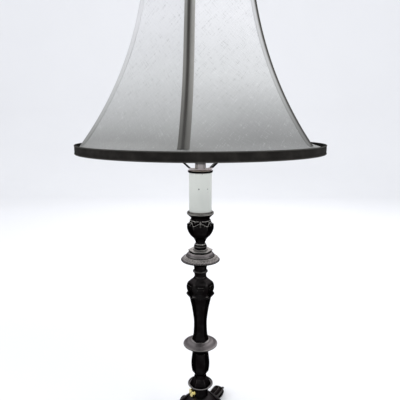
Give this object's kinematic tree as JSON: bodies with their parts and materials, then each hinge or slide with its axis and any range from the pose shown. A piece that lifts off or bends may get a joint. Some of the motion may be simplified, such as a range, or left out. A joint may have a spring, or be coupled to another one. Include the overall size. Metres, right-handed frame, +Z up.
{
  "type": "candlestick lamp",
  "caption": "Table lamp with a patinated candlestick column, cream candle sleeve, slender cast legs, a harp and a panelled bell-shaped fabric shade.",
  "frame": {"origin": "on the table under the lamp's axis, at the level of the felt pads' undersides", "axes": "+Z up along the column, -Y towards the front of the pictured view, +X to its right"},
  "size_m": [0.3562, 0.3562, 0.7736],
  "materials": {
    "bronze": "dark patinated cast metal, worn brighter on the edges",
    "felt": "felt",
    "steel": "plain",
    "cover_plate": "satin black",
    "cast_iron": "raw",
    "rubber": "matt",
    "brass": "satin",
    "pewter": "dull grey",
    "candle": "matt cream white",
    "insulator": "moulded",
    "switch": "moulded",
    "bulb_metal": "bright",
    "bulb_glass": "frosted",
    "frame_wire": "white enamel",
    "shade_fabric": "pale slubbed silk",
    "shade_lining": "smooth white",
    "trim": "woven grey tape with a dark middle line"
  },
  "bodies": {
    "stand": {"base_hub": "bronze", "leg_1": "bronze", "leg_2": "bronze", "leg_3": "bronze", "lower_column": "bronze", "collar_dish": "bronze", "knop": "bronze", "saucer": "bronze", "shaft": "bronze", "vase": "bronze", "neck_ring": "bronze", "drip_plate": "bronze", "round_step": "bronze", "spacer_ring": "bronze", "hex_plate": "bronze", "torus_ring": "bronze", "urn_cup": "bronze", "sleeve_cap": "bronze", "harp_saddle": "bronze", "harp": "bronze", "harp_top": "bronze", "felt_pads": "felt", "leg_bolts": "steel", "centre_pipe": "steel", "base_washer": "steel", "base_nut": "steel", "base_cover": "cover_plate", "ballast": "cast_iron", "cord_bushing": "rubber", "lock_screw": "brass", "socket_cap": "brass", "socket_shell": "brass", "screw_shell": "brass", "centre_contact": "brass", "coupling_nut": "pewter", "candle_sleeve": "candle", "socket_liner": "insulator", "socket_block": "insulator"},
    "shade": {"shade_bottom_ring": "frame_wire", "shade_top_ring": "frame_wire", "rib_wires": "frame_wire", "spider": "frame_wire", "shade_panel_1": "shade_fabric", "shade_panel_2": "shade_fabric", "shade_panel_3": "shade_fabric", "shade_panel_4": "shade_fabric", "shade_panel_5": "shade_fabric", "shade_panel_6": "shade_fabric", "shade_lining": "shade_lining", "rib_trims": "trim", "rim_band": "trim", "top_band": "trim"},
    "finial": {"finial": "bronze"},
    "bulb": {"bulb_base": "bulb_metal", "bulb_glass": "bulb_glass"},
    "switch": {"switch_knob": "switch"},
    "ferrule_right": {"harp_ferrule_right": "bronze"},
    "ferrule_left": {"harp_ferrule_left": "bronze"}
  },
  "joints": [
    {"name": "shade_turn", "type": "hinge", "parent": "stand", "child": "shade", "pos_m": [0, 0, 0.73], "axis": [0, 0, 1], "continuous": true},
    {"name": "finial_turn", "type": "hinge", "parent": "stand", "child": "finial", "pos_m": [0, 0, 0.74], "axis": [0, 0, 1], "continuous": true},
    {"name": "bulb_turn", "type": "hinge", "parent": "stand", "child": "bulb", "pos_m": [0, 0, 0.5], "axis": [0, 0, 1], "continuous": true},
    {"name": "switch_turn", "type": "hinge", "parent": "stand", "child": "switch", "pos_m": [0.00434, -0.02462, 0.4758], "axis": [0.1736, -0.9848, 0], "continuous": true},
    {"name": "ferrule_right_slide", "type": "slide", "parent": "stand", "child": "ferrule_right", "axis": [0, 0, 1], "range_m": [0, 0.012]},
    {"name": "ferrule_left_slide", "type": "slide", "parent": "stand", "child": "ferrule_left", "axis": [0, 0, 1], "range_m": [0, 0.012]}
  ]
}
